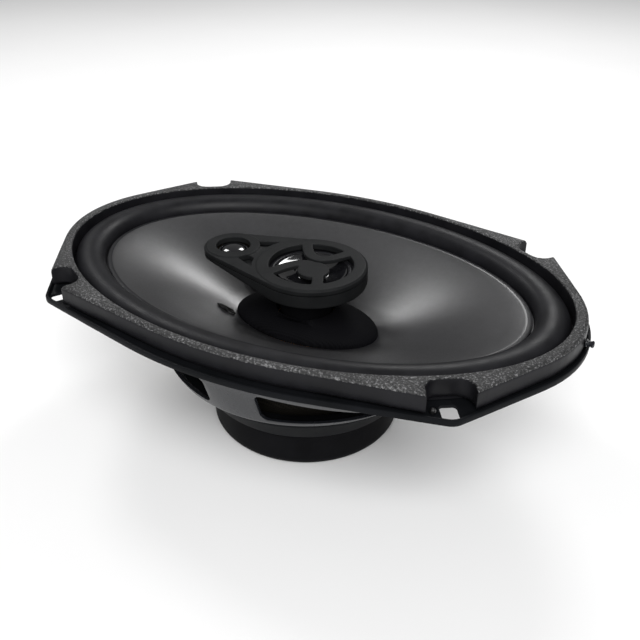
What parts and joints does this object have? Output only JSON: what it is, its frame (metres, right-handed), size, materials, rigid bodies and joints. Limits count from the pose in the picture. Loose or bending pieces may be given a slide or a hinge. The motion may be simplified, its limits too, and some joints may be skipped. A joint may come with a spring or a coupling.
{
  "type": "coaxial speaker",
  "caption": "Oval coaxial car loudspeaker with a pressed basket, a mica-grey cone in a soft black surround, and a bridge pod holding a midrange and a tweeter on a centre post.",
  "frame": {"origin": "centre of the flat closed base of the magnet cover, on the driver's axis", "axes": "+X along the oval's long axis, away from the tweeter; +Y across it; +Z along the driver's axis towards the listener"},
  "size_m": [0.234, 0.1564, 0.0749],
  "materials": {
    "black_steel": "semi-gloss black coat over pressed steel",
    "zinc_steel": "bright zinc plate",
    "ferrite": "dull sintered grey-black",
    "cover_rubber": "smooth matte black",
    "mica_cone": "dark grey pulp with a faint mica sheen",
    "butyl": "satin black",
    "gasket_grain": "fine sandy grain on the top face",
    "spider_cloth": "resin-dipped woven cloth",
    "skirt_cloth": "coated black cloth",
    "pod_plastic": "fine-textured charcoal",
    "black_film": "glossy black film",
    "kapton": "amber film",
    "copper_wire": "enamelled copper turns",
    "brass": "bright plated brass",
    "lead_braid": "braided copper tinsel",
    "terminal_board": "dark laminated board",
    "capacitor_sleeve": "dark blue shrink sleeve"
  },
  "bodies": {
    "frame": {"basket": "black_steel", "magnet_cover": "cover_rubber", "back_plate_and_pole": "zinc_steel", "ferrite_magnet": "ferrite", "top_plate": "zinc_steel", "basket_rivet_1": "zinc_steel", "basket_rivet_2": "zinc_steel", "basket_rivet_3": "zinc_steel", "basket_rivet_4": "zinc_steel", "centre_post": "pod_plastic", "post_bolt": "zinc_steel", "surround": "butyl", "spider": "spider_cloth", "gasket_ring": "gasket_grain", "gasket_pin_1": "zinc_steel", "gasket_pin_2": "zinc_steel", "gasket_pin_3": "zinc_steel", "gasket_pin_4": "zinc_steel", "edge_peg": "zinc_steel", "pod_housing": "pod_plastic", "pod_cover": "pod_plastic", "mid_frame": "black_steel", "mid_yoke": "zinc_steel", "mid_magnet": "zinc_steel", "mid_pole_plate": "zinc_steel", "mid_surround": "butyl", "tweeter_element": "brass", "terminal_board": "terminal_board", "terminal_wide": "brass", "terminal_narrow": "brass", "terminal_rivet_wide": "zinc_steel", "terminal_rivet_narrow": "zinc_steel", "crossover_capacitor_1": "capacitor_sleeve", "crossover_capacitor_2": "capacitor_sleeve", "tinsel_lead_1": "lead_braid", "tinsel_lead_2": "lead_braid", "lead_eyelet_1": "zinc_steel", "lead_eyelet_2": "zinc_steel"},
    "cone_assembly": {"woofer_cone": "mica_cone", "voice_coil_former": "kapton", "voice_coil_winding": "copper_wire", "dust_skirt": "skirt_cloth", "lead_glue_1": "skirt_cloth", "lead_glue_2": "skirt_cloth"},
    "mid_diaphragm": {"mid_diaphragm": "black_film"},
    "tweeter_diaphragm": {"tweeter_diaphragm": "black_film"}
  },
  "joints": [
    {"name": "cone_slide", "type": "slide", "parent": "frame", "child": "cone_assembly", "axis": [0, 0, 1], "range_m": [-0.005, 0.005], "stiffness_N_per_m": 2500, "deforming": ["surround", "spider", "tinsel_lead_1", "tinsel_lead_2"]},
    {"name": "mid_slide", "type": "slide", "parent": "frame", "child": "mid_diaphragm", "axis": [0, 0, 1], "range_m": [-0.0004, 0.0004], "stiffness_N_per_m": 300, "deforming": ["mid_surround"]},
    {"name": "tweeter_slide", "type": "slide", "parent": "frame", "child": "tweeter_diaphragm", "axis": [0, 0, 1], "range_m": [-0.00015, 0.00015], "stiffness_N_per_m": 50}
  ]
}
